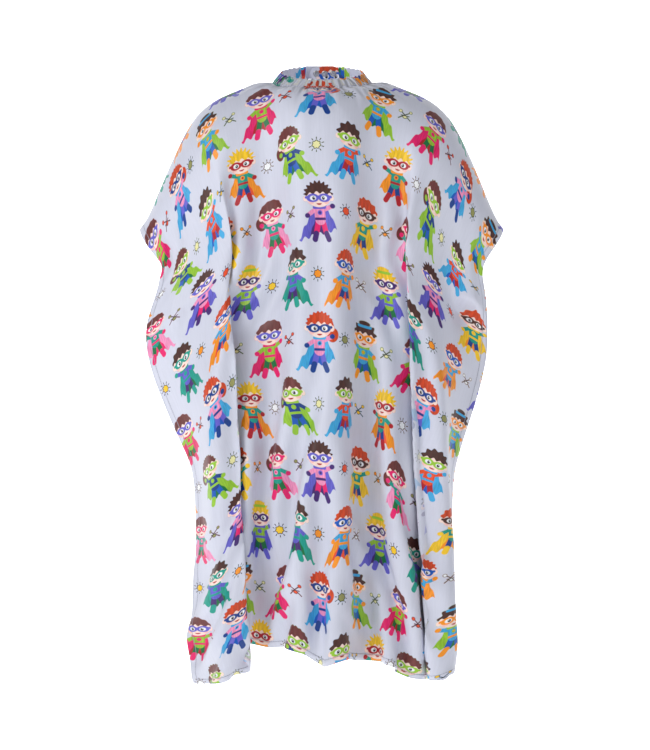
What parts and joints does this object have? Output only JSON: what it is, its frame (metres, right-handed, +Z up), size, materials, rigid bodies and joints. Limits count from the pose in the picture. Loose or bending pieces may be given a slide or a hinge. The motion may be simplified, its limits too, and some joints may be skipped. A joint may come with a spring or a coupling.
{
  "type": "child's hairdresser cape",
  "caption": "Child's printed haircut cape: a draped rectangular sheet with an elasticated neckband and a snap closure at the back.",
  "frame": {"origin": "middle of the neckband's top edge, where the wearer's neck passes through", "axes": "+Z up, the front faces -Y, +X towards the wearer's left"},
  "size_m": [0.5478, 0.2751, 0.9556],
  "materials": {
    "printed_polyester": "satin plain-weave polyester, printed all over",
    "neckband_polyester": "satin plain-weave polyester, gathered",
    "elastic_web": "woven elastic webbing",
    "nickel": "nickel-plated snap"
  },
  "bodies": {
    "cape": {"sheet_hanging_front": "printed_polyester", "sheet_chest": "printed_polyester", "sheet_sleeve_left": "printed_polyester", "sheet_sleeve_right": "printed_polyester", "sheet_back_left": "printed_polyester", "sheet_back_right": "printed_polyester", "neckband_casing": "neckband_polyester", "neck_elastic": "elastic_web", "under_tab": "neckband_polyester", "snap_stud_1": "nickel", "snap_stud_2": "nickel", "snap_stud_3": "nickel", "snap_post_1": "nickel", "snap_post_2": "nickel", "snap_post_3": "nickel"},
    "closure_tab": {"over_tab": "neckband_polyester", "snap_cap_1": "nickel", "snap_cap_2": "nickel", "snap_socket_1": "nickel", "snap_socket_2": "nickel"}
  },
  "joints": [
    {"name": "tab_swing", "type": "hinge", "parent": "cape", "child": "closure_tab", "pos_m": [-0.026, 0.05594, 0.00832], "axis": [0, -0.4462, 0.8949], "range_deg": [0, 120]}
  ]
}
